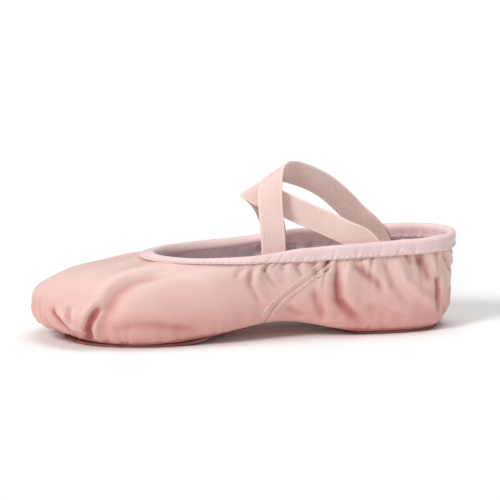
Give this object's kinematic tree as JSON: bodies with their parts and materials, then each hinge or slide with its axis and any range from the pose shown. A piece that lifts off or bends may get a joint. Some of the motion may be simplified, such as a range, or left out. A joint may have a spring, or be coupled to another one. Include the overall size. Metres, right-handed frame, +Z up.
{
  "type": "ballet slipper",
  "caption": "Soft split-sole ballet slipper with a gathered satin upper, a bound elasticated top line and crossed elastic instep straps.",
  "frame": {"origin": "on the floor, under the middle of the slipper's bounding box", "axes": "+X runs from the toe towards the heel, +Y towards the wearer's right side, +Z up"},
  "size_m": [0.2366, 0.0802, 0.0942],
  "materials": {
    "satin": "soft sheen",
    "cotton_lining": "matt",
    "binding": "matt",
    "elastic": "ribbed, matt",
    "suede": "napped",
    "foam": "matt",
    "thread": "matt"
  },
  "bodies": {
    "forefoot": {"forepart": "satin", "forepart_lining": "cotton_lining", "left_seam_stitching": "thread", "right_seam_stitching": "thread", "forefoot_sole_patch": "suede", "forefoot_sole_stitching": "thread", "forefoot_foam_pad": "foam", "forefoot_insole": "cotton_lining", "topline_binding": "binding", "topline_elastic": "elastic", "topline_stitching": "thread", "top_strap": "elastic", "under_strap": "elastic", "top_strap_front_tack": "thread", "under_strap_front_tack": "thread"},
    "heel": {"left_quarter": "satin", "left_quarter_lining": "cotton_lining", "right_quarter": "satin", "right_quarter_lining": "cotton_lining", "back_seam_tape": "cotton_lining", "heel_sole_patch": "suede", "heel_sole_stitching": "thread", "heel_foam_pad": "foam", "heel_insole": "cotton_lining", "top_strap_back_tack": "thread", "under_strap_back_tack": "thread"}
  },
  "joints": [
    {"name": "arch_flex", "type": "hinge", "parent": "forefoot", "child": "heel", "pos_m": [0.0063, 0, 0.009], "axis": [0, 1, 0], "range_deg": [0, 40], "deforming": ["topline_binding", "topline_elastic", "topline_stitching", "top_strap", "under_strap"]}
  ]
}
